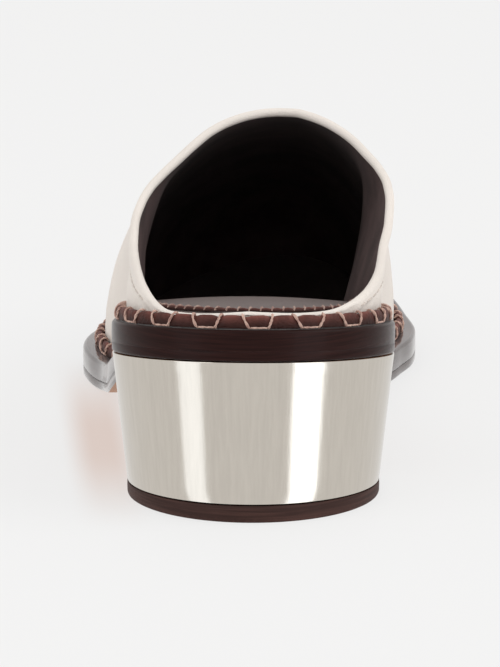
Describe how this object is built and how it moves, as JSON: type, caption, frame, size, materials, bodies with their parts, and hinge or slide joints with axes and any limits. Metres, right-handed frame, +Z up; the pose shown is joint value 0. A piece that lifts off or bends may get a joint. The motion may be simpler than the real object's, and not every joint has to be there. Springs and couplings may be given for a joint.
{
  "type": "mule shoe",
  "caption": "Left women's mule with a closed toe, open back, whip-stitched strip round a dark polished sole, and a tapered metal block heel.",
  "frame": {"origin": "on the floor under the middle of the shoe's box", "axes": "+Y towards the toe, +X towards the inner (big toe) side, +Z up"},
  "size_m": [0.0886, 0.25, 0.0818],
  "materials": {
    "upper_leather": "matt smooth cream leather with a folded, topstitched edge",
    "strip_leather": "matt brown leather with pale whip stitches",
    "insole_leather": "matt grey-brown leather, lightly padded",
    "midsole_leather": "dark brown polished edge",
    "outsole_leather": "natural tan sole leather with a dark edge",
    "heel_metal": "polished warm silver",
    "lift_rubber": "matt dark brown"
  },
  "bodies": {
    "root": {"top_lift": "lift_rubber", "heel_block": "heel_metal", "outsole": "outsole_leather", "midsole": "midsole_leather", "stitched_strip": "strip_leather", "insole": "insole_leather", "heel_binding": "strip_leather", "upper": "upper_leather"}
  },
  "joints": []
}
